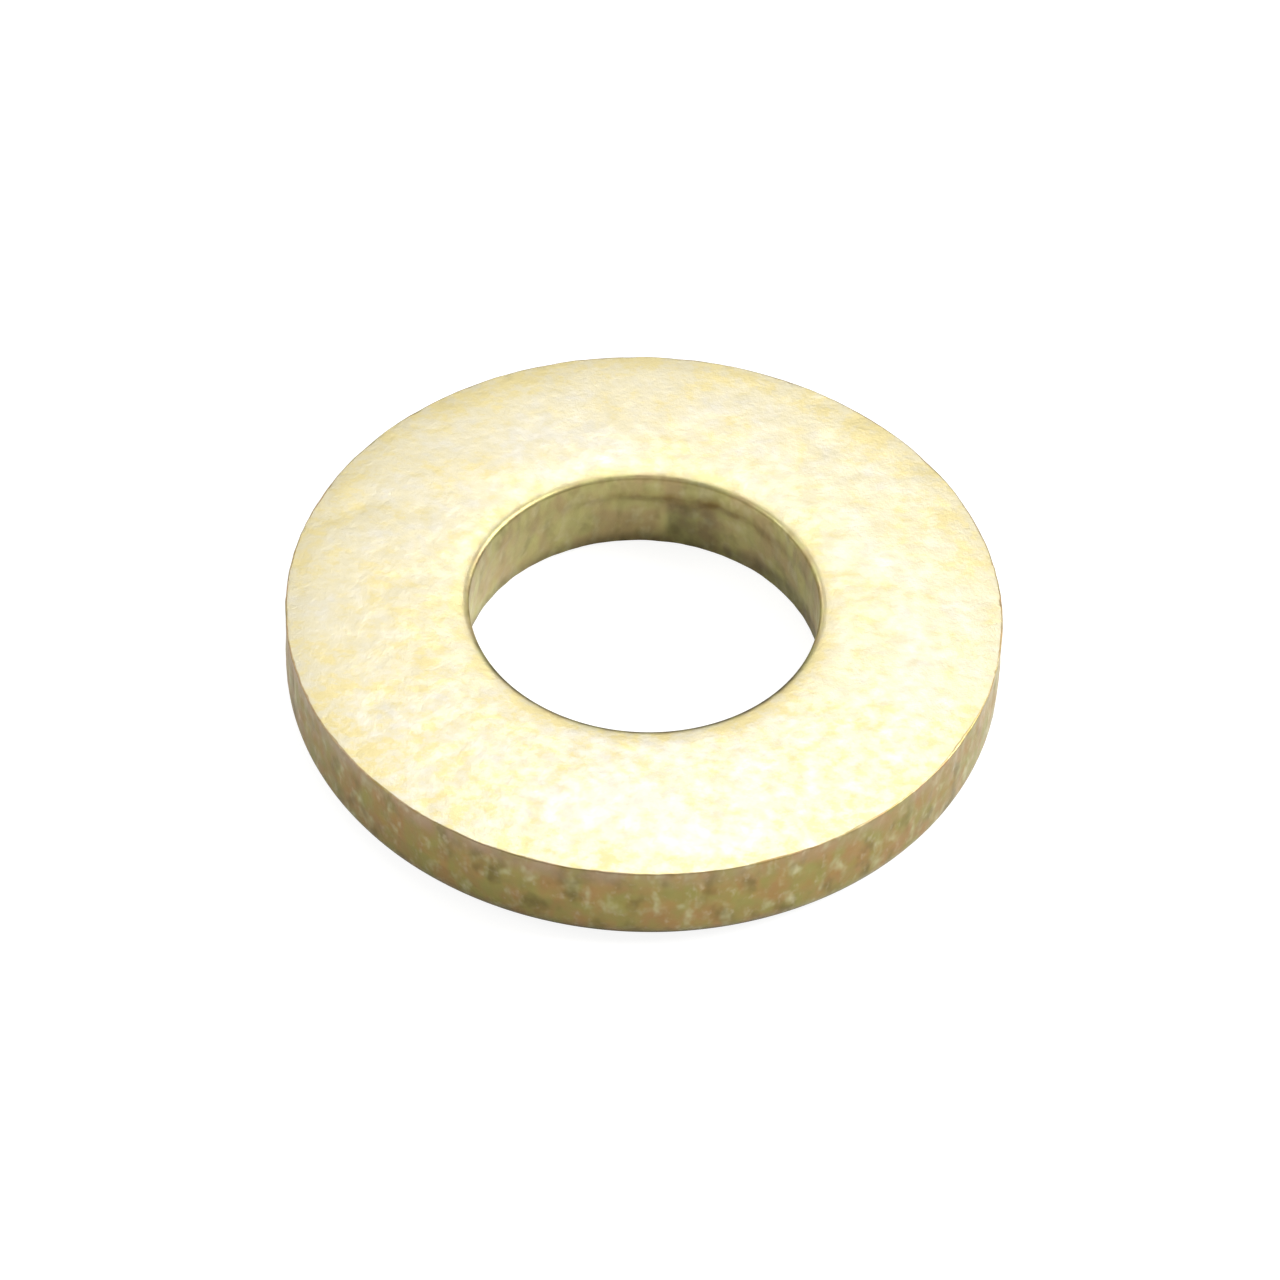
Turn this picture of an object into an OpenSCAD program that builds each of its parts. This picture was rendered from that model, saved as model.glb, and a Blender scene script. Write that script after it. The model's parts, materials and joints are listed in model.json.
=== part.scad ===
// Thick flat washer for a 3/8 in bolt, punched from steel plate and zinc plated.
// It is one piece of steel. Each punched wall has a rolled edge where the tool
// entered, then a smooth sheared band, then a torn cone that ends at a sharp edge.
// The hole was punched downwards through the plate and the disc was then pushed down
// through a die, so the hole is rolled at its top edge and the rim at its bottom edge.
//
// Frame: the bore's axis is Z, the bottom face lies on Z = 0, and +Z is up.

/* [Disc] */
// Outer diameter, across the rim's sheared band
outer_d = 20.8; // [18:0.1:26]
// Thickness from face to face
thickness = 3.05; // [2.6:0.05:4.5]

/* [Bore] */
// Diameter across the bore's sheared band, where it is narrowest
bore_d = 10.1; // [8:0.1:13]
// Radius of the bore's rolled top edge
bore_roll = 0.25; // [0.1:0.05:0.6]
// Height of the bore's sheared band, below the rolled edge
bore_band = 0.6; // [0.3:0.05:1.2]
// How far the torn cone opens by the bottom face, on the radius
bore_tear = 0.2; // [0.05:0.05:0.5]

/* [Rim] */
// Radius of the rim's rolled bottom edge
rim_roll = 0.9; // [0.1:0.05:1.1]
// Height of the rim's sheared band, above the rolled edge
rim_band = 0.6; // [0.3:0.05:1.2]
// How far the torn cone draws in by the top face, on the radius
rim_tear = 0.06; // [0.02:0.02:0.4]

/* [Edges] */
// Bevel that tumbling leaves on the two sharp edges
edge_break = 0.06; // [0.02:0.02:0.15]

/* [Hidden] */

// Radii of the two sheared bands
bore_r = bore_d / 2;
outer_r = outer_d / 2;

// Heights where the torn cones meet the sheared bands
bore_tear_top = thickness - bore_roll - bore_band;
rim_tear_foot = rim_roll + rim_band;

// How far each corner cutter reaches past the section, so that no edges coincide
overrun = 0.5;

$fn = 180;

// Takes the material outside a round of radius r from a square corner at the origin.
// The section lies towards +X and -Y of the corner.
module corner_cutter(r) {
    difference() {
        translate([-overrun, -r]) square([r + overrun, r + overrun]);
        translate([r, -r]) circle(r = r);
    }
}

// Half of the disc's cross-section before the edges are rolled, with radius along X
// and height along Y. The points run anticlockwise from the bore's bottom edge.
module sharp_section() {
    bore_foot_r = bore_r + bore_tear;
    rim_head_r = outer_r - rim_tear;
    polygon([
        [bore_foot_r + edge_break, 0],
        [outer_r, 0],
        [outer_r, rim_tear_foot],
        [rim_head_r, thickness - edge_break],
        [rim_head_r - edge_break, thickness],
        [bore_r, thickness],
        [bore_r, bore_tear_top],
        [bore_foot_r, edge_break]
    ]);
}

// The whole cross-section: the bore's top corner and the rim's bottom corner are rolled
module section() {
    difference() {
        sharp_section();
        translate([bore_r, thickness]) corner_cutter(bore_roll);
        translate([outer_r, 0]) rotate(180) corner_cutter(rim_roll);
    }
}

module washer() {
    color("#e6d9a3") rotate_extrude() section();
}

washer();
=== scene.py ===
"""The looks of a thick flat washer: punched from steel plate, zinc plated, pale yellow chromate.

Lengths are in millimetres, and become metres where a mesh or an object is made. Azimuths
are in degrees, from +X towards +Y.
"""

import json
import math

import bpy
import numpy as np
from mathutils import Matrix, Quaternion, Vector

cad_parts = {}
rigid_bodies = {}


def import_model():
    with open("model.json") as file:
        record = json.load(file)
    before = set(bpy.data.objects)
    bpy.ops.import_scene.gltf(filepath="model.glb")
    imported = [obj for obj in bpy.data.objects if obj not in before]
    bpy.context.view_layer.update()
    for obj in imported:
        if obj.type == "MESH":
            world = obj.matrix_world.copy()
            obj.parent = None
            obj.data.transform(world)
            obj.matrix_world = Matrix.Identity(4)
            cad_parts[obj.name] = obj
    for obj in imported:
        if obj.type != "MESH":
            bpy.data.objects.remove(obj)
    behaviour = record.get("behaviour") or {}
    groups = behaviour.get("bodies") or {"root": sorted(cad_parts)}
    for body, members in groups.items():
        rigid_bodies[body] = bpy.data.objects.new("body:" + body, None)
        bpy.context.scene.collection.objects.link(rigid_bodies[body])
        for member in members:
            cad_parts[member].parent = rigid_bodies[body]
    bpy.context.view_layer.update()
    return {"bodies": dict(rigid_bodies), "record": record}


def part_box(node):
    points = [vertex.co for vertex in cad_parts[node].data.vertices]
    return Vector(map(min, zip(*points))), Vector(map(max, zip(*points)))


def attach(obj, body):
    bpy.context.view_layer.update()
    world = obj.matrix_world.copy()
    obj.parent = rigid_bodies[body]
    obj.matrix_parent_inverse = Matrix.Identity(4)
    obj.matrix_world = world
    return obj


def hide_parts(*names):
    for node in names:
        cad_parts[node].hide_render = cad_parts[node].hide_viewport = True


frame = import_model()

MM = 0.001
NODE = "washer"

# ---------------------------------------------------------------- sizes

_, box_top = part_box(NODE)
bore_mount = next(m for m in frame["record"]["mounts"] if m["name"] == "bore")
OUTER_R = box_top.x / MM
THICKNESS = box_top.z / MM
BORE_R = bore_mount["dims"]["r_mm"]
BORE_BAND = bore_mount["dims"]["length_mm"]  # the smooth sheared band of the bore
BAND_TOP = bore_mount["pos_m"][2] / MM + BORE_BAND / 2
BORE_ROLL = THICKNESS - BAND_TOP  # the rolled top edge of the bore
LIP_R = BORE_R + BORE_ROLL  # where the top face meets that roll

BORE_TEAR = 0.20  # how far the torn wall opens by the bottom face
RIM_ROLL = 0.90  # the rolled bottom edge of the rim
RIM_BAND = 0.60  # the smooth sheared band above it
RIM_TEAR = 0.05  # how far the torn wall draws in by the top face
EDGE_BREAK = 0.055  # what tumbling took off the two sharp edges

# how far each surface lies inside the solid, which leaves room for its marks and waves
RIM_INSET = 0.015
BORE_INSET = 0.003
FACE_INSET = 0.012

# how far each face tilts from level where its roll starts, in degrees
TOP_TILT = 6.2
BOTTOM_TILT = 3.7

# grid steps round the washer, up each wall and round each roll
TURNS = 630
WALL_STEPS = 30
RIM_ROLL_STEPS = 12
BORE_ROLL_STEPS = 9

ANGLE = np.linspace(0, 2 * math.pi, TURNS, endpoint=False)[:, None]


# ---------------------------------------------------------------- shape helpers


def smooth(x):
    """0 below 0, 1 above 1 and the cubic 3x^2 - 2x^3 between them."""
    x = np.clip(x, 0, 1)
    return x * x * (3 - 2 * x)


def bump(x):
    """A round hump: 1 at 0, and the Gaussian exp(-x^2) away from it."""
    return np.exp(-x * x)


def field(points, size, seed):
    """A smooth random field over points in space, about -2 to 2, with spots about size across.

    It is the sum of plane waves cos(k.p + phase) in random directions, each k near pi / size.
    """
    waves = 48
    rng = np.random.default_rng(seed)
    way = rng.normal(size=(waves, 3))
    way /= np.linalg.norm(way, axis=1, keepdims=True)
    k = way * (math.pi / size * rng.uniform(0.6, 1.4, (waves, 1)))
    phase = rng.uniform(0, 2 * math.pi, waves)
    total = np.zeros(points.shape[:-1])
    for one, start in zip(k, phase):
        total += np.cos(points @ one + start)
    return total * math.sqrt(2 / waves)


def round_the_ring(size, radius, seed):
    """A random curve that closes on itself, about -2 to 2, with swings about size long at radius.

    It is the sum of cosines with a whole number of turns round the ring.
    """
    waves = 24
    rng = np.random.default_rng(seed)
    most = math.pi * radius / size
    turns = np.unique(np.maximum(1, rng.uniform(0.5, 1.5, waves) * most).astype(int))
    phase = rng.uniform(0, 2 * math.pi, len(turns))
    total = np.zeros_like(ANGLE)
    for n, start in zip(turns, phase):
        total += np.cos(n * ANGLE + start)
    return total * math.sqrt(2 / len(turns))


def spaced(start, stop, count, crowd=0.0):
    """count places from start to stop, the last left out, crowded towards both ends by crowd."""
    t = np.arange(count) / count
    return start + (stop - start) * (t - crowd * np.sin(2 * math.pi * t) / (2 * math.pi))


# ---------------------------------------------------------------- the washer's surface

# The surface is eight strips of the section, carried round the axis. Each strip is three
# arrays of steps round by steps along: the radius, the height and the share of the brown
# line that marks where the metal tore.


def bore_wall():
    """Down the bore, from the foot of the roll to the bottom edge.

    The radius is the bore's, with faint upright drag marks. Below a wavy line it opens by a
    power of the way down, a little faster at first, with a faint groove and a rough,
    upright-grained tear that calms towards the bottom edge.
    """
    top = THICKNESS - BORE_ROLL
    foot = EDGE_BREAK
    upright = 0.45  # heights count this much, so the grain is longer upright than across
    z = spaced(top, foot, WALL_STEPS)[None, :] + 0 * ANGLE
    line = top - BORE_BAND + 0.05 * round_the_ring(size=2.2, radius=BORE_R, seed=11)
    line = line + 0.012 * round_the_ring(size=0.5, radius=BORE_R, seed=12)
    under = line - z
    torn = smooth(under / 0.3)
    opening = BORE_TEAR * np.clip(under / (line - foot), 0, 1) ** 0.9
    groove = 0.006 * bump((under - 0.16) / 0.16)
    ring = np.stack([BORE_R * np.cos(ANGLE) + 0 * z, BORE_R * np.sin(ANGLE) + 0 * z, z * upright], -1)
    rough = 0.010 * field(ring, size=0.28, seed=13) + 0.012 * field(ring, size=0.7, seed=14)
    calm = 0.35 + 0.65 * smooth((z - foot) / 0.5)
    marks = 0.003 * round_the_ring(size=0.25, radius=BORE_R, seed=15)
    r = BORE_R + opening + groove + torn * calm * rough + (1 - torn) * (marks + BORE_INSET)
    return r, z, bump((under - 0.05) / 0.26)


def rim_wall():
    """Up the rim, from the top of the rolled bottom edge to the top edge.

    The radius is the outer one, with faint upright drag marks. Above a wavy line it draws in
    slightly, with a rough, upright-grained tear that calms towards the top edge.
    """
    foot = RIM_ROLL
    top = THICKNESS - EDGE_BREAK
    upright = 0.5
    sunk = 0.012  # the tear lies this much deeper than the band
    highest = 0.009  # nothing stands out further than this
    z = spaced(foot, top, WALL_STEPS)[None, :] + 0 * ANGLE
    line = foot + RIM_BAND + 0.10 * round_the_ring(size=3.0, radius=OUTER_R, seed=21)
    over = z - line
    torn = smooth(over / 0.3)
    inward = RIM_TEAR * np.clip(over / (top - line), 0, 1)
    ring = np.stack([OUTER_R * np.cos(ANGLE) + 0 * z, OUTER_R * np.sin(ANGLE) + 0 * z, z * upright], -1)
    rough = 0.008 * field(ring, size=0.25, seed=23) + 0.008 * field(ring, size=0.7, seed=24)
    marks = 0.003 * round_the_ring(size=0.3, radius=OUTER_R, seed=25)
    calm = 0.4 + 0.6 * smooth((top - z) / 0.4)
    skin = np.minimum(torn * calm * (rough - sunk) + (1 - torn) * marks, highest)
    return OUTER_R - RIM_INSET - inward + skin, z, 0 * z


def dents(x, y, seed):
    """Tumbling dents in a face: the sum of round hollows of random place, width and depth."""
    count = 110
    rng = np.random.default_rng(seed)
    reach = rng.uniform(BORE_R + 0.5, OUTER_R - 0.2, count)
    azimuth = rng.uniform(0, 2 * math.pi, count)
    wide = rng.uniform(0.12, 0.45, count)
    deep = rng.uniform(0.002, 0.012, count) * wide / 0.3
    total = 0 * x
    for a, r, w, d in zip(azimuth, reach, wide, deep):
        total += d * bump(np.hypot(x - r * math.cos(a), y - r * math.sin(a)) / w)
    return total


def face(inner, outer, level, up, count, seed):
    """A flat face between two edges that may wander, with rolled-plate waves and dents.

    It falls away by a few hundredths towards both edges, by the square of the nearness.
    Inner and outer are radii at each angle. The top face has up = 1 and runs inwards, and
    the bottom face has up = -1 and runs outwards.
    """

    def droop(distance, reach, drop):
        """A fall of drop at the edge, which fades out at reach from it."""
        return drop * np.clip(1 - distance / reach, 0, 1) ** 2

    t = spaced(0, 1, count, crowd=0.55)[None, :]
    r = (inner + (outer - inner) * t) if up < 0 else (outer + (inner - outer) * t)
    x, y = r * np.cos(ANGLE), r * np.sin(ANGLE)
    lengthwise = 0.6  # distances along X count this much, as the plate was rolled that way
    flat = np.stack([x * lengthwise, y, 0 * x], -1)
    waves = 0.002 * field(flat, size=1.1, seed=seed) + 0.0005 * field(flat, size=0.4, seed=seed + 1)
    fall = droop(outer - r, 3.0, 0.04) + droop(r - inner, 1.9, 0.04)
    fall = fall + droop(outer - r, 0.8, 0.015) + droop(r - inner, 0.6, 0.02)
    depth = FACE_INSET + fall + dents(x, y, seed + 2) - waves
    return r, level - up * depth, 0 * r


def arc(centre_r, centre_z, radius, start, stop, count):
    """Part of a circle in the section, the last place left out. Angles in degrees, from +r."""
    t = np.radians(spaced(start, stop, count))[None, :]
    r = centre_r + radius * np.cos(t) + 0 * ANGLE
    z = centre_z + radius * np.sin(t) + 0 * ANGLE
    return r, z, 0 * r


def worn_edge(wall, flat, count):
    """Joins the end of a wall to the start of a face with a small round corner.

    The path is the quadratic curve whose middle point is the sharp corner, which has the
    wall's radius and the face's height.
    """
    r0, z0 = wall[0][:, -1:], wall[1][:, -1:]
    r1, z1 = flat[0][:, :1], flat[1][:, :1]
    t = ((np.arange(count) + 1) / (count + 1))[None, :]
    r = (1 - t) ** 2 * r0 + 2 * t * (1 - t) * r0 + t ** 2 * r1
    z = (1 - t) ** 2 * z0 + 2 * t * (1 - t) * z1 + t ** 2 * z1
    return r, z, 0 * r


def section_strips():
    """The eight strips in order: out along the bottom, up the rim, in along the top, down the bore."""
    bore = bore_wall()
    rim = rim_wall()
    chips = np.clip(round_the_ring(size=0.5, radius=OUTER_R, seed=31) - 1.2, 0, 1)
    break_top = EDGE_BREAK * (1 + 0.2 * round_the_ring(size=1.6, radius=OUTER_R, seed=32)) + 0.03 * chips
    break_low = EDGE_BREAK * (1.1 + 0.2 * round_the_ring(size=0.9, radius=BORE_R, seed=33))
    # each roll starts as steep as its face ends
    rim_roll = arc(
        OUTER_R - RIM_INSET - RIM_ROLL, RIM_ROLL, RIM_ROLL, -90 + BOTTOM_TILT, 0, RIM_ROLL_STEPS
    )
    bore_roll = arc(
        BORE_R + BORE_INSET + BORE_ROLL, THICKNESS - BORE_ROLL, BORE_ROLL, 90 + TOP_TILT, 180, BORE_ROLL_STEPS
    )
    top = face(bore_roll[0][:, :1], rim[0][:, -1:] - break_top, level=THICKNESS, up=1, count=44, seed=41)
    bottom = face(bore[0][:, -1:] + break_low, rim_roll[0][:, :1], level=0.0, up=-1, count=26, seed=51)
    # and it starts where its face would go next, so the step in height is eased out along it
    for (_, roll_z, _), (_, flat_z, _) in ((rim_roll, bottom), (bore_roll, top)):
        count = roll_z.shape[1]
        next_z = 2 * flat_z[:, -1:] - flat_z[:, -2:-1]
        ease = 1 - smooth(np.arange(count) / count)[None, :]
        roll_z += ease * (next_z - roll_z[:, :1])
    return {
        "bottom": bottom,
        "rim_roll": rim_roll,
        "rim": rim,
        "top_edge": worn_edge(rim, top, 4),
        "top": top,
        "bore_roll": bore_roll,
        "bore": bore,
        "bottom_edge": worn_edge(bore, bottom, 3),
    }


# ---------------------------------------------------------------- where each finish lies


def film_tint_and_highlight(x, y):
    """How golden the film on the faces is, about -1 to 1.5: broad patches, thicker at the bore's
    lip, along the edge and left of the bore, with a partly painted shade in the gold along the
    back edge, and pale painted highlights in front and just behind the bore."""
    out = np.hypot(x, y)
    lip = smooth((LIP_R + 0.5 - out) / 0.5)
    # the gold along the back edge is partly the film and partly a painted shade where the face falls away
    # from the light
    back_edge = smooth((out - 8.6) / 1.4) * smooth((y + 1.0) / 5.0)
    front_edge = smooth((out - 9.0) / 1.1) * smooth((-y - 1.0) / 5.0)
    left = 0.5 * bump(np.hypot(x + 8.3, y + 3.2) / 2.4)
    left_of_bore = 0.4 * bump(np.hypot(x + 6.2, y) / 1.5)
    gold = 1.0 * back_edge + 0.7 * front_edge + left + left_of_bore
    # two pale painted highlights, in front and just behind the bore
    pale_film_and_highlight = bump(np.hypot((x - 0.5) / 1.6, y + 8.2) / 2.0) + 0.7 * bump(np.hypot(x + 2.2, y - 6.0) / 1.7)
    return gold + 1.2 * lip - pale_film_and_highlight


def finish_masks(strips, points, line):
    """One number per vertex for each finish and each mark, which the material reads by name.

    Each is a product of ramps and humps in the azimuth, the height and the steps along a
    strip, so it fades out on every side.
    """
    y, z = points[..., 1], points[..., 2]
    turn = np.degrees(ANGLE) + 0 * z

    def along(**values):
        """One value or ramp for each strip named, and 0 on the rest, over the whole grid."""
        spread = [values.get(name, 0) + 0 * strip[0][0] for name, strip in strips.items()]
        return np.concatenate(spread) + 0 * z

    def around(azimuth, spread):
        """A hump that is 1 at the azimuth and fades over spread on both sides of it."""
        return bump((turn - azimuth) / spread)

    top_r = strips["top"][0][0]
    step = np.arange(BORE_ROLL_STEPS)
    in_bore = along(
        top=0.35 * smooth((LIP_R + 0.14 - top_r) / 0.25),
        bore_roll=0.2 + 0.8 * smooth((step + 1) / 6),
        bore=1,
        bottom_edge=1,
    )
    on_rim = along(rim_roll=smooth(np.arange(RIM_ROLL_STEPS) / 4), rim=1, top_edge=1)

    # painted shade at the foot of both walls, which stands higher in the bore at the back right
    shade_top_in_bore = 0.65 + 0.5 * around(30, 40)
    bore_foot_shade = 0.5 * in_bore * smooth((shade_top_in_bore - z) / 0.6)
    rim_foot_shade = 0.95 * on_rim * smooth((0.68 - z) / 0.34)
    # painted shade on the bore's lip, in front and at the left
    in_front = smooth((-np.sin(ANGLE) - 0.1) / 0.5)
    front_lip_shade = 0.7 * along(bore_roll=smooth((step - 1) / 3)) * in_front
    brink = 0.35 * smooth((LIP_R + 0.1 - top_r) / 0.2)
    over_roll = (0.35 + 0.65 * smooth(step / 2)) * (1 - smooth((step - 5) / 4))
    left_lip_shade = 0.36 * along(top=brink, bore_roll=over_roll) * around(150, 42)
    # painted shade on the rim in front, and a darker patch in the bore with one sharp upright end
    front_rim_shade = 0.16 * on_rim * around(260, 24)
    patch_width = smooth((85 - turn) / 3) * smooth((turn - 61) / 9)
    patch_height = 0.35 + 0.65 * smooth((2.1 - z) / 0.3)
    dark_patch = 0.4 * in_bore * (patch_width * patch_height)
    # the brown line is plain at the back of the bore and ends at the left
    line_strength = (0.12 + 0.88 * around(72, 36)) * smooth((190 - turn) / 60)
    # a browner film under the rim's top edge, most of all at the front left
    near_top = smooth((z - 2.2) / 0.7)

    return {
        "in_bore": in_bore,
        "on_rim": on_rim,
        "tear_line": line * line_strength,
        # painted shade at the walls' feet, on the bore's lip and on the rim in front, and a darker patch in
        # the bore
        "painted_shade_and_patch": np.maximum.reduce([bore_foot_shade + rim_foot_shade, front_rim_shade, front_lip_shade, left_lip_shade, dark_patch]),
        "scorch": on_rim * near_top * (0.5 + 0.5 * around(235, 40)),
        "mottle": 0.55 + 0.45 * smooth((-1.0 - y) / 5.0),  # the specks are stronger in front
        # the film's tint, which carries the painted highlights and a partly painted shade along the back edge
        "film": (1 - in_bore - on_rim) * film_tint_and_highlight(points[..., 0], y),
    }


# ---------------------------------------------------------------- the washer's mesh


def closed_grid_mesh(name, points):
    """A mesh from a grid of points (steps round, steps along) that closes on itself both ways."""
    rows, cols = points.shape[:2]
    i, j = np.meshgrid(np.arange(rows), np.arange(cols), indexing="ij")
    i2, j2 = (i + 1) % rows, (j + 1) % cols
    quads = np.stack([i * cols + j, i2 * cols + j, i2 * cols + j2, i * cols + j2], -1).reshape(-1, 4)
    mesh = bpy.data.meshes.new(name)
    mesh.vertices.add(rows * cols)
    mesh.vertices.foreach_set("co", (points.reshape(-1, 3) * MM).astype(np.float32).ravel())
    mesh.loops.add(quads.size)
    mesh.loops.foreach_set("vertex_index", quads.ravel().astype(np.int32))
    mesh.polygons.add(len(quads))
    mesh.polygons.foreach_set("loop_start", (np.arange(len(quads)) * 4).astype(np.int32))
    mesh.polygons.foreach_set("use_smooth", np.ones(len(quads), bool))
    mesh.update(calc_edges=True)
    mesh.validate()
    return mesh


def make_washer():
    """The washer as one closed mesh with its masks, in the place of the plain solid."""
    strips = section_strips()
    r, z, line = (np.concatenate(part, axis=1) for part in zip(*strips.values()))
    points = np.stack([r * np.cos(ANGLE), r * np.sin(ANGLE), z], -1)
    mesh = closed_grid_mesh("punched_washer", points)
    for name, values in finish_masks(strips, points, line).items():
        mask = mesh.attributes.new(name, "FLOAT", "POINT")
        mask.data.foreach_set("value", values.astype(np.float32).ravel())
    piece = bpy.data.objects.new("punched_washer", mesh)
    bpy.context.scene.collection.objects.link(piece)
    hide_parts(NODE)
    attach(piece, "root" if "root" in frame["bodies"] else next(iter(frame["bodies"])))
    return piece


# ---------------------------------------------------------------- materials

HUES = {
    # the film on the faces
    "straw": "#c7bfa2",
    "gold": "#c9bc8b",
    # pale film, and the colour of the painted highlights
    "pale_film_and_highlight": "#c6c1b1",
    # the rim
    "olive": "#908847",
    "bronze": "#9c7b48",
    "grey_green": "#b3af84",
    "dark_grain": "#6c5e28",
    "mauve_brown": "#a38c74",
    "pale_fleck": "#c0b596",
    # the bore
    "bore_olive": "#b9b377",
    "bore_brown": "#b3a072",
    "bore_pale": "#c8c096",
    "bore_dark": "#8e8350",
    # marks
    "tear_brown": "#7a6028",
    # the painted shade, and the darker patch in the bore
    "shade_and_patch_dark": "#322d1c",
}


def linear(hex_colour):
    """An sRGB hex colour as linear light with alpha 1."""
    parts = [int(hex_colour[i : i + 2], 16) / 255 for i in (1, 3, 5)]
    return (*[c / 12.92 if c <= 0.04045 else ((c + 0.055) / 1.055) ** 2.4 for c in parts], 1.0)


def add(tree, kind, links=None, **settings):
    """Adds a node: settings are its own properties, links are input values or the sockets that feed them."""
    made = tree.nodes.new(kind)
    for name, value in settings.items():
        setattr(made, name, value)
    for name, value in (links or {}).items():
        if isinstance(value, bpy.types.NodeSocket):
            tree.links.new(value, made.inputs[name])
        else:
            made.inputs[name].default_value = value
    return made


def per_metre(size_mm):
    """A pattern's scale on Object coordinates for features of that size."""
    return 1 / (size_mm * MM)


def clouds(tree, place, size, levels, strength=(0.0, 1.0), detail=2.0, roughness=0.5, within=None):
    """Random clouds about size millimetres across, which lie only within a mask if one is given.

    They rise smoothly from the first strength, where the noise is at the first level, to the
    second strength, where it is at the second level.
    """
    noise = add(
        tree,
        "ShaderNodeTexNoise",
        {"Vector": place, "Scale": per_metre(size), "Detail": detail, "Roughness": roughness},
    )
    eased = add(
        tree,
        "ShaderNodeMapRange",
        {
            "Value": noise.outputs["Fac"],
            "From Min": levels[0],
            "From Max": levels[1],
            "To Min": strength[0],
            "To Max": strength[1],
        },
        interpolation_type="SMOOTHSTEP",
    ).outputs["Result"]
    if within is None:
        return eased
    return add(tree, "ShaderNodeMath", {0: within, 1: eased}, operation="MULTIPLY").outputs["Value"]


def layered(tree, colour, *layers):
    """Lays colours over the first one, in order. Each layer is its share, 0 to 1, and its colour."""
    for share, over in layers:
        mix = add(tree, "ShaderNodeMix", {0: share, 6: colour, 7: over}, data_type="RGBA")
        colour = mix.outputs[2]
    return colour


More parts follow.
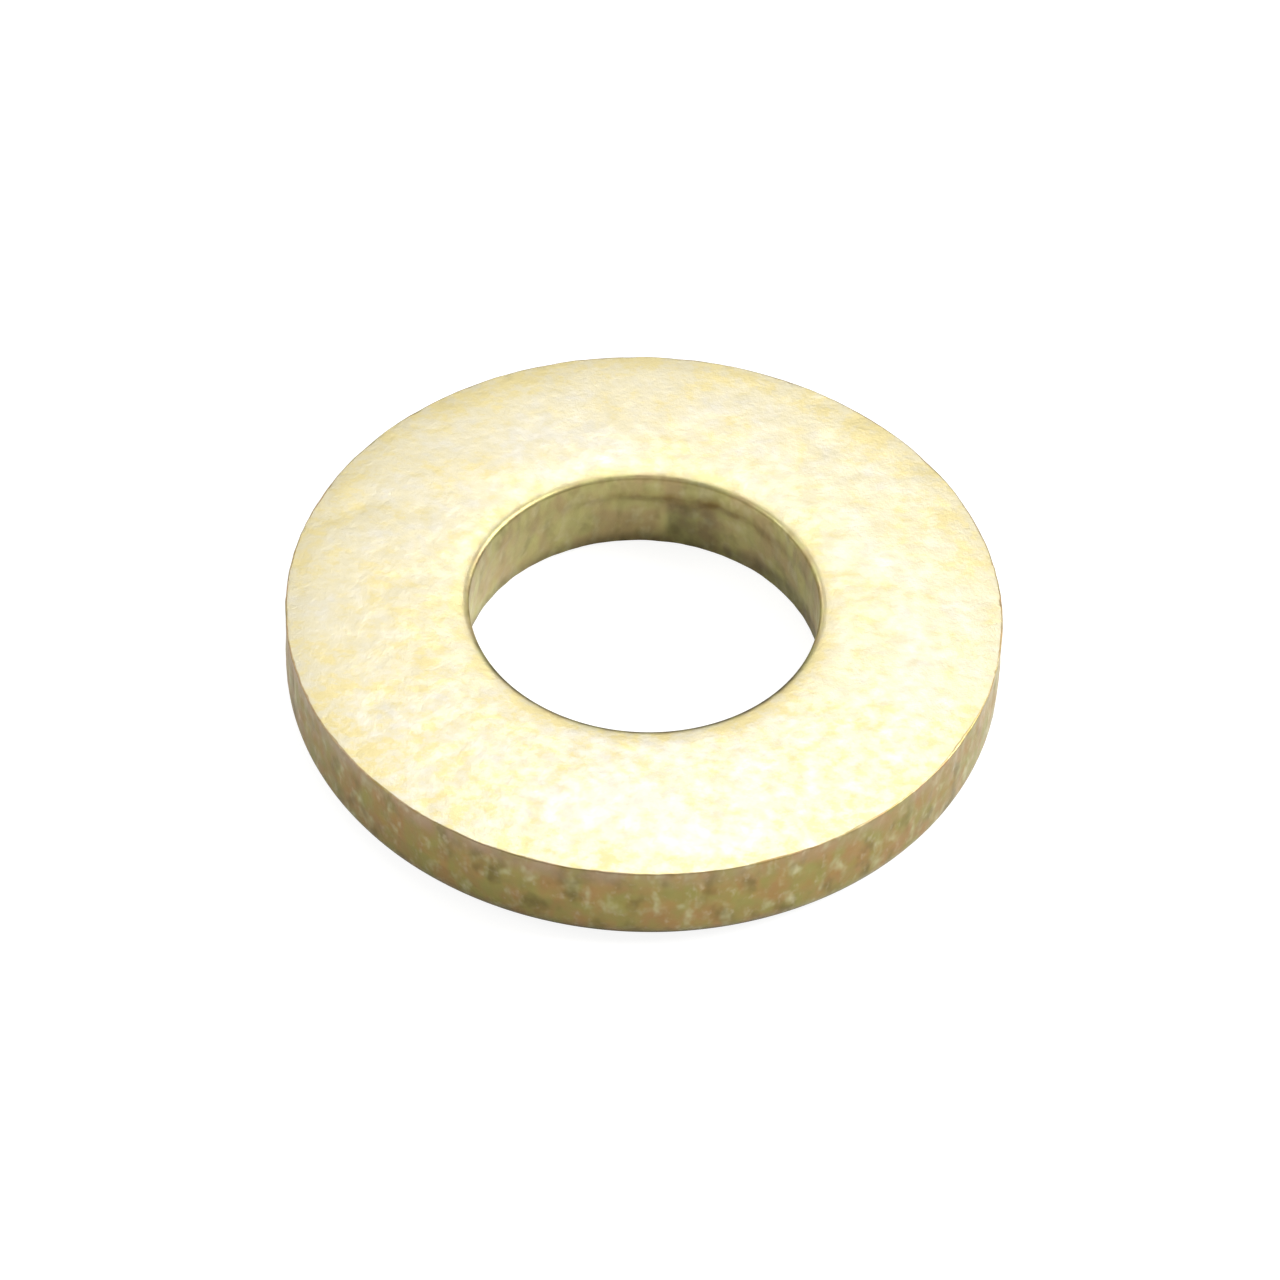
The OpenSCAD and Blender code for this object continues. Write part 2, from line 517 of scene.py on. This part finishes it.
def yellow_chromate_on_zinc():
    """Barrel zinc plate with a yellow chromate: a matt, finely crystalline metal under a clear film,
    straw yellow on the flat faces and darker olive brown on the punched walls."""
    mat = bpy.data.materials.new("yellow_chromate_on_zinc")
    mat.use_nodes = True
    tree = mat.node_tree
    tree.nodes.clear()
    hue = {name: linear(code) for name, code in HUES.items()}
    mask = {
        name: add(tree, "ShaderNodeAttribute", attribute_name=name).outputs["Fac"]
        for name in ("in_bore", "on_rim", "tear_line", "painted_shade_and_patch", "scorch", "film", "mottle")
    }
    place = add(tree, "ShaderNodeTexCoord").outputs["Object"]
    # patterns are a little longer along X on the faces, and upright on the walls
    rolled = add(tree, "ShaderNodeMapping", {"Vector": place, "Scale": (0.8, 1.0, 1.0)}).outputs["Vector"]
    drawn = add(tree, "ShaderNodeMapping", {"Vector": place, "Scale": (1.0, 1.0, 0.7)}).outputs["Vector"]

    # on the faces: straw, golden where the film is thick, with a partly painted shade along the back edge,
    # and pale where it is thin and at the painted highlights
    broad = clouds(tree, place, 1.4, (0.3, 0.7), (-0.7, 0.7))
    specks = clouds(tree, rolled, 0.34, (0.25, 0.75), (-1.6, 1.6), 3.0, 0.6, within=mask["mottle"])
    # the film mask carries painted highlights and a partly painted shade along the back edge
    patches = add(tree, "ShaderNodeMath", {0: mask["film"], 1: broad}, operation="ADD").outputs["Value"]
    film = add(tree, "ShaderNodeMath", {0: patches, 1: specks}, operation="ADD").outputs["Value"]
    golden = add(
        tree,
        "ShaderNodeMapRange",
        {"Value": film, "From Min": 0.0, "From Max": 1.8},
        interpolation_type="SMOOTHSTEP",
    ).outputs["Result"]
    pale_and_highlit = add(
        tree,
        "ShaderNodeMapRange",
        {"Value": film, "From Min": 0.2, "From Max": -1.6},
        interpolation_type="SMOOTHSTEP",
    ).outputs["Result"]
    face_colour = layered(tree, hue["straw"], (golden, hue["gold"]), (pale_and_highlit, hue["pale_film_and_highlight"]))

    # on the rim: soft olive and bronze, green-grey and dark grains, and a mauve brown near the top
    rim_colour = layered(
        tree,
        hue["olive"],
        (clouds(tree, drawn, 0.6, (0.3, 0.7)), hue["bronze"]),
        (clouds(tree, drawn, 0.45, (0.5, 0.82)), hue["grey_green"]),
        (clouds(tree, drawn, 0.7, (0.5, 0.78), (0, 0.9)), hue["dark_grain"]),
        (clouds(tree, drawn, 0.8, (0.3, 0.65), (0.2, 0.9), within=mask["scorch"]), hue["mauve_brown"]),
        (clouds(tree, drawn, 0.28, (0.55, 0.85), (0, 0.6)), hue["pale_fleck"]),
    )

    # in the bore: a smoother, greener olive with soft brown clouds
    bore_colour = layered(
        tree,
        hue["bore_olive"],
        (clouds(tree, drawn, 0.8, (0.35, 0.65)), hue["bore_brown"]),
        (clouds(tree, drawn, 0.45, (0.5, 0.75), (0, 0.6)), hue["bore_pale"]),
        (clouds(tree, drawn, 0.5, (0.5, 0.75), (0, 0.5)), hue["bore_dark"]),
    )

    colour = layered(
        tree,
        face_colour,
        (mask["in_bore"], bore_colour),
        (mask["on_rim"], rim_colour),
        (clouds(tree, place, 0.6, (0.3, 0.7), (0.45, 0.95), within=mask["tear_line"]), hue["tear_brown"]),
        # painted shade at the walls' feet, on the bore's lip and on the rim in front, and a darker patch in
        # the bore
        (clouds(tree, drawn, 0.4, (0.3, 0.7), (0.75, 1.15), within=mask["painted_shade_and_patch"]), hue["shade_and_patch_dark"]),
    )

    # the crystals are far finer than this, and are drawn as coarse as the camera can see
    grain = add(
        tree,
        "ShaderNodeTexNoise",
        {"Vector": place, "Scale": per_metre(0.11), "Detail": 3.0, "Roughness": 0.65},
    ).outputs["Fac"]
    coarse = add(
        tree,
        "ShaderNodeTexNoise",
        {"Vector": rolled, "Scale": per_metre(0.3), "Detail": 2.0, "Roughness": 0.5},
    ).outputs["Fac"]
    height = add(tree, "ShaderNodeMath", {0: grain, 1: coarse}, operation="ADD").outputs["Value"]
    relief = add(
        tree,
        "ShaderNodeBump",
        {"Height": height, "Strength": 0.25, "Distance": 0.03 * MM},
    ).outputs["Normal"]
    surface = add(
        tree,
        "ShaderNodeBsdfPrincipled",
        {
            "Base Color": colour,
            "Metallic": 0.9,
            "Coat Weight": 0.25,
            "Coat Roughness": 0.3,
            "Roughness": clouds(tree, place, 0.5, (0.3, 0.7), (0.38, 0.5), detail=3.0),
            "Normal": relief,
        },
    )
    add(tree, "ShaderNodeOutputMaterial", {"Surface": surface.outputs[0]})
    return mat


def matt_sheet(name, colour, glow):
    """A plain matt sheet that may also glow evenly, as the top of a light table does."""
    mat = bpy.data.materials.new(name)
    mat.use_nodes = True
    sheet = mat.node_tree.nodes["Principled BSDF"]
    sheet.inputs["Base Color"].default_value = linear(colour)
    sheet.inputs["Roughness"].default_value = 0.9
    sheet.inputs["Specular IOR Level"].default_value = 0.1
    sheet.inputs["Emission Color"].default_value = linear("#ffffff")
    sheet.inputs["Emission Strength"].default_value = glow
    return mat


# ---------------------------------------------------------------- stage


def make_floor(name, level, mat, seen):
    """A round floor. The seen one is what the camera shows; the other lies just under it, and is
    what the metal reflects, with the washer's true shadow on it."""
    reach, sides = 1500.0, 96
    a = np.linspace(0, 2 * math.pi, sides, endpoint=False)
    corners = np.stack([reach * np.cos(a), reach * np.sin(a), 0 * a + level], -1) * MM
    mesh = bpy.data.meshes.new(name)
    mesh.from_pydata(corners.tolist(), [], [list(range(sides))])
    mesh.materials.append(mat)
    floor = bpy.data.objects.new(name, mesh)
    bpy.context.scene.collection.objects.link(floor)
    floor.visible_camera = seen
    floor.visible_diffuse = floor.visible_glossy = not seen
    floor.visible_shadow = not seen


def make_camera():
    """A long lens from the front, 46.6 degrees above the floor, rolled 2.2 degrees and aimed a
    little left of the washer's middle and below it."""
    lens, away, elevation, tip = 105.5, 109.2, math.radians(46.6), math.radians(2.2)
    middle = Vector((0.0, 0.0, THICKNESS / 2))
    back = Vector((0.0, -math.cos(elevation), math.sin(elevation)))
    aim = middle + Vector((-0.09, -0.14, -0.13))
    data = bpy.data.cameras.new("camera")
    data.lens, data.sensor_width = lens, 36.0
    data.clip_start, data.clip_end = 0.005, 50.0
    camera = bpy.data.objects.new("camera", data)
    at = middle + back * away
    camera.location = at * MM
    camera.rotation_mode = "QUATERNION"
    turn = (aim - at).to_track_quat("-Z", "Y")
    camera.rotation_quaternion = turn @ Quaternion((0, 0, 1), tip)
    bpy.context.scene.collection.objects.link(camera)
    bpy.context.scene.camera = camera


def soft_box(name, azimuth, elevation, size, radiance):
    """A square area light turned to the washer, 400 mm away.

    Its power is pi times its area times its radiance, which is how bright it looks.
    """
    away = 400.0
    data = bpy.data.lights.new(name, "AREA")
    data.shape, data.size = "SQUARE", size * MM
    data.energy = math.pi * (size * MM) ** 2 * radiance
    lamp = bpy.data.objects.new(name, data)
    turn, lift = math.radians(azimuth), math.radians(elevation)
    at = Vector((math.cos(turn) * math.cos(lift), math.sin(turn) * math.cos(lift), math.sin(lift)))
    lamp.location = at * away * MM
    lamp.rotation_mode = "QUATERNION"
    lamp.rotation_quaternion = (-at).to_track_quat("-Z", "Y")
    bpy.context.scene.collection.objects.link(lamp)


def make_lights():
    """A large soft box on the right, which leaves the floor left of each wall in shade, smaller
    ones behind, at the left, above and in front, and an even dim room."""
    soft_box("right", azimuth=10, elevation=38, size=240, radiance=11.8)
    soft_box("behind", azimuth=84, elevation=54, size=120, radiance=6.0)
    soft_box("back_left", azimuth=135, elevation=35, size=120, radiance=4.6)
    soft_box("left", azimuth=180, elevation=35, size=120, radiance=6.0)
    soft_box("front", azimuth=270, elevation=35, size=120, radiance=2.5)
    soft_box("top", azimuth=90, elevation=80, size=160, radiance=3.2)
    world = bpy.data.worlds.new("room")
    bpy.context.scene.world = world
    world.use_nodes = True
    tree = world.node_tree
    tree.nodes.clear()
    seen = add(tree, "ShaderNodeBackground", {"Color": linear("#ffffff"), "Strength": 1.0})
    room = add(tree, "ShaderNodeBackground", {"Color": linear("#fffdf8"), "Strength": 0.51})
    path = add(tree, "ShaderNodeLightPath")
    both = add(
        tree,
        "ShaderNodeMixShader",
        {0: path.outputs["Is Camera Ray"], 1: room.outputs[0], 2: seen.outputs[0]},
    )
    add(tree, "ShaderNodeOutputWorld", {"Surface": both.outputs[0]})


bpy.context.scene.view_settings.view_transform = "Standard"
make_camera()
make_lights()
make_floor("floor", 0.0, matt_sheet("lit_white_acrylic", "#8c8c8b", 0.86), True)
make_floor("floor_in_reflections", -0.01, matt_sheet("white_paper", "#e6e6e4", 0.0), False)
washer = make_washer()
washer.data.materials.append(yellow_chromate_on_zinc())
